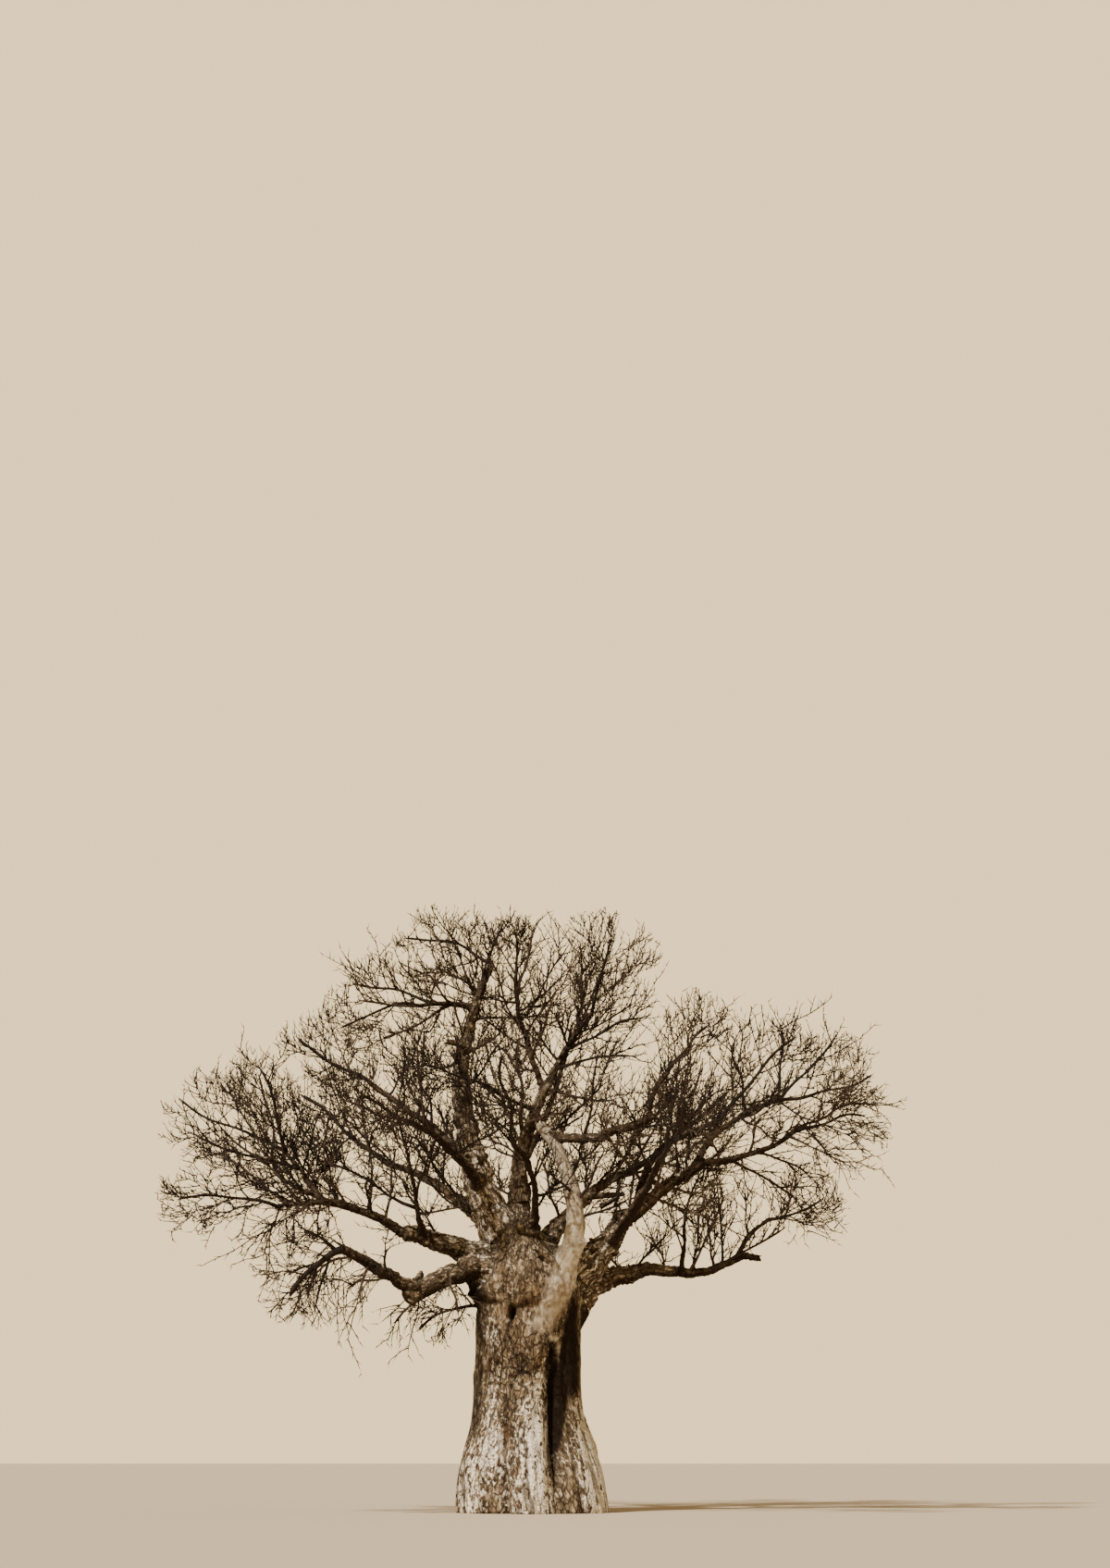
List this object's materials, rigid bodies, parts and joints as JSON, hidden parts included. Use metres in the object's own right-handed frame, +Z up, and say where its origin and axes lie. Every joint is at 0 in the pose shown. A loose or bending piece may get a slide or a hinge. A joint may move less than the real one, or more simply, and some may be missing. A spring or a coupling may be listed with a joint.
{
  "type": "bare baobab tree",
  "caption": "Leafless baobab tree: a stout fluted trunk on a flared foot, bent boughs from its shoulder, and masses of bare twigs.",
  "frame": {"origin": "middle of the flat cut under the trunk, at ground level", "axes": "+Z up the trunk, +X to the right of the side seen first, which faces -Y"},
  "size_m": [22.3646, 17.8981, 17.9886],
  "materials": {
    "bark": "rough grey-brown bark, wrinkled, paler where it flakes",
    "twig": "dull dark brown twig bark"
  },
  "bodies": {
    "root": {"trunk": "bark", "left_leader": "bark", "top_left_arm": "bark", "upper_left_bough": "bark", "front_left_bough": "bark", "mid_left_bough": "bark", "mid_left_reach": "bark", "mid_left_riser": "bark", "mid_left_arm": "bark", "back_left_riser": "bark", "mid_left_stem": "bark", "low_left_bough": "bark", "low_left_forearm": "bark", "pale_stem": "bark", "shelf_bough": "bark", "shelf_riser": "bark", "middle_stem": "bark", "centre_left_leader": "bark", "centre_right_leader": "bark", "centre_arm": "bark", "front_stem": "bark", "right_bough": "bark", "right_reach": "bark", "right_fork_low": "bark", "right_fork_high": "bark", "right_riser": "bark", "front_right_bough": "bark", "low_right_bough": "bark", "low_right_forearm": "bark", "low_right_spur": "bark", "low_right_riser": "bark", "back_right_bough": "bark", "back_bough": "bark", "back_left_bough": "bark", "back_high_bough": "bark", "top_left_twigs": "twig", "crest_left_twigs": "twig", "upper_left_twigs": "twig", "far_left_high_twigs": "twig", "far_left_twigs": "twig", "back_far_left_twigs": "twig", "left_inner_twigs": "twig", "low_left_twigs": "twig", "trunk_spray_twigs": "twig", "front_left_twigs": "twig", "crest_twigs": "twig", "crest_right_twigs": "twig", "centre_left_twigs": "twig", "upper_right_twigs": "twig", "front_twigs": "twig", "right_high_twigs": "twig", "far_right_high_twigs": "twig", "far_right_twigs": "twig", "front_right_twigs": "twig", "low_right_twigs": "twig", "right_under_twigs": "twig", "back_right_twigs": "twig", "back_twigs": "twig", "back_left_twigs": "twig", "back_high_twigs": "twig"}
  },
  "joints": []
}
